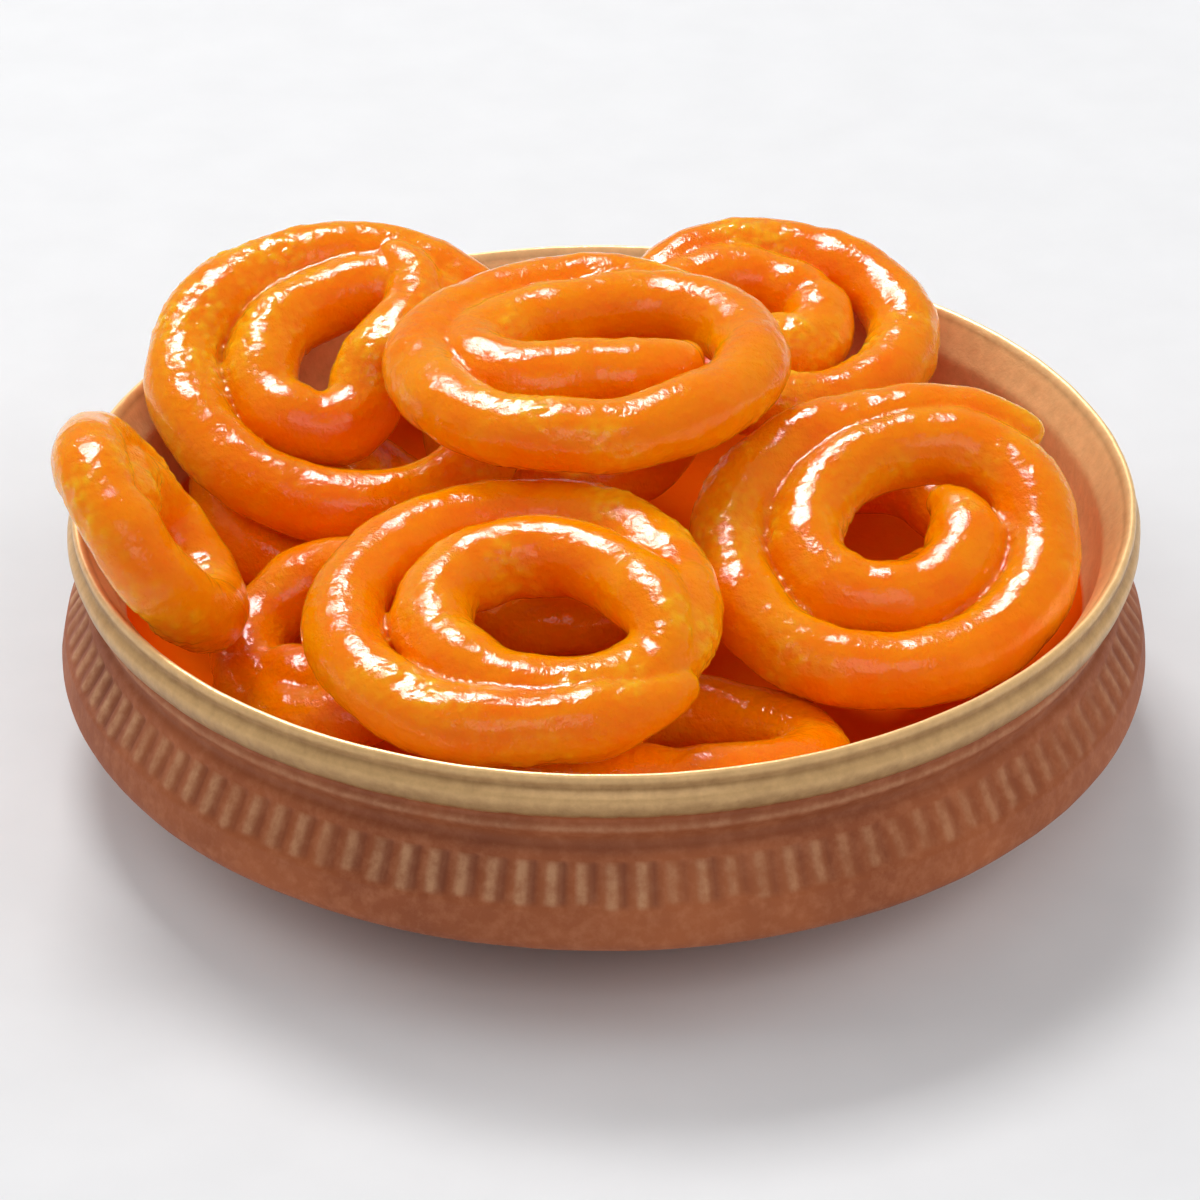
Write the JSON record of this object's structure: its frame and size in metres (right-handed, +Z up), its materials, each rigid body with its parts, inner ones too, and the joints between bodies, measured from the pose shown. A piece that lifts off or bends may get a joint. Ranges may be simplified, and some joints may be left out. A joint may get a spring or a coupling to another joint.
{
  "type": "bowl of sweets",
  "caption": "Low round clay bowl with a gold-washed rim and a ticked shoulder, heaped with orange spiral sweets soaked in syrup.",
  "frame": {"origin": "the middle of the bowl's flat base, on the ground it stands on", "axes": "+Z is up, -Y is the front that the viewer sees, +X is the viewer's right"},
  "size_m": [0.1696, 0.1696, 0.0676],
  "materials": {
    "bowl": "fired terracotta, the rim and inside washed with worn dull gold paint",
    "jalebi_front": "fried batter soaked in clear sugar syrup, glossy and slightly see-through",
    "jalebi_right": "fried batter soaked in clear sugar syrup, glossy and slightly see-through",
    "jalebi_centre": "fried batter soaked in clear sugar syrup, glossy and slightly see-through",
    "jalebi_back_left": "fried batter soaked in clear sugar syrup, glossy and slightly see-through",
    "jalebi_back_right": "fried batter soaked in clear sugar syrup, glossy and slightly see-through",
    "jalebi_left": "fried batter soaked in clear sugar syrup, glossy and slightly see-through",
    "jalebi_low_front": "fried batter soaked in clear sugar syrup, glossy and slightly see-through",
    "jalebi_low_left": "fried batter soaked in clear sugar syrup, glossy and slightly see-through",
    "jalebi_low_right": "fried batter soaked in clear sugar syrup, glossy and slightly see-through",
    "jalebi_low_back": "fried batter soaked in clear sugar syrup, glossy and slightly see-through",
    "jalebi_low_back_left": "fried batter soaked in clear sugar syrup, glossy and slightly see-through",
    "jalebi_low_middle": "fried batter soaked in clear sugar syrup, glossy and slightly see-through"
  },
  "bodies": {
    "root": {"bowl": "bowl", "jalebi_front": "jalebi_front", "jalebi_right": "jalebi_right", "jalebi_centre": "jalebi_centre", "jalebi_back_left": "jalebi_back_left", "jalebi_back_right": "jalebi_back_right", "jalebi_left": "jalebi_left", "jalebi_low_front": "jalebi_low_front", "jalebi_low_left": "jalebi_low_left", "jalebi_low_right": "jalebi_low_right", "jalebi_low_back": "jalebi_low_back", "jalebi_low_back_left": "jalebi_low_back_left", "jalebi_low_middle": "jalebi_low_middle"}
  },
  "joints": []
}
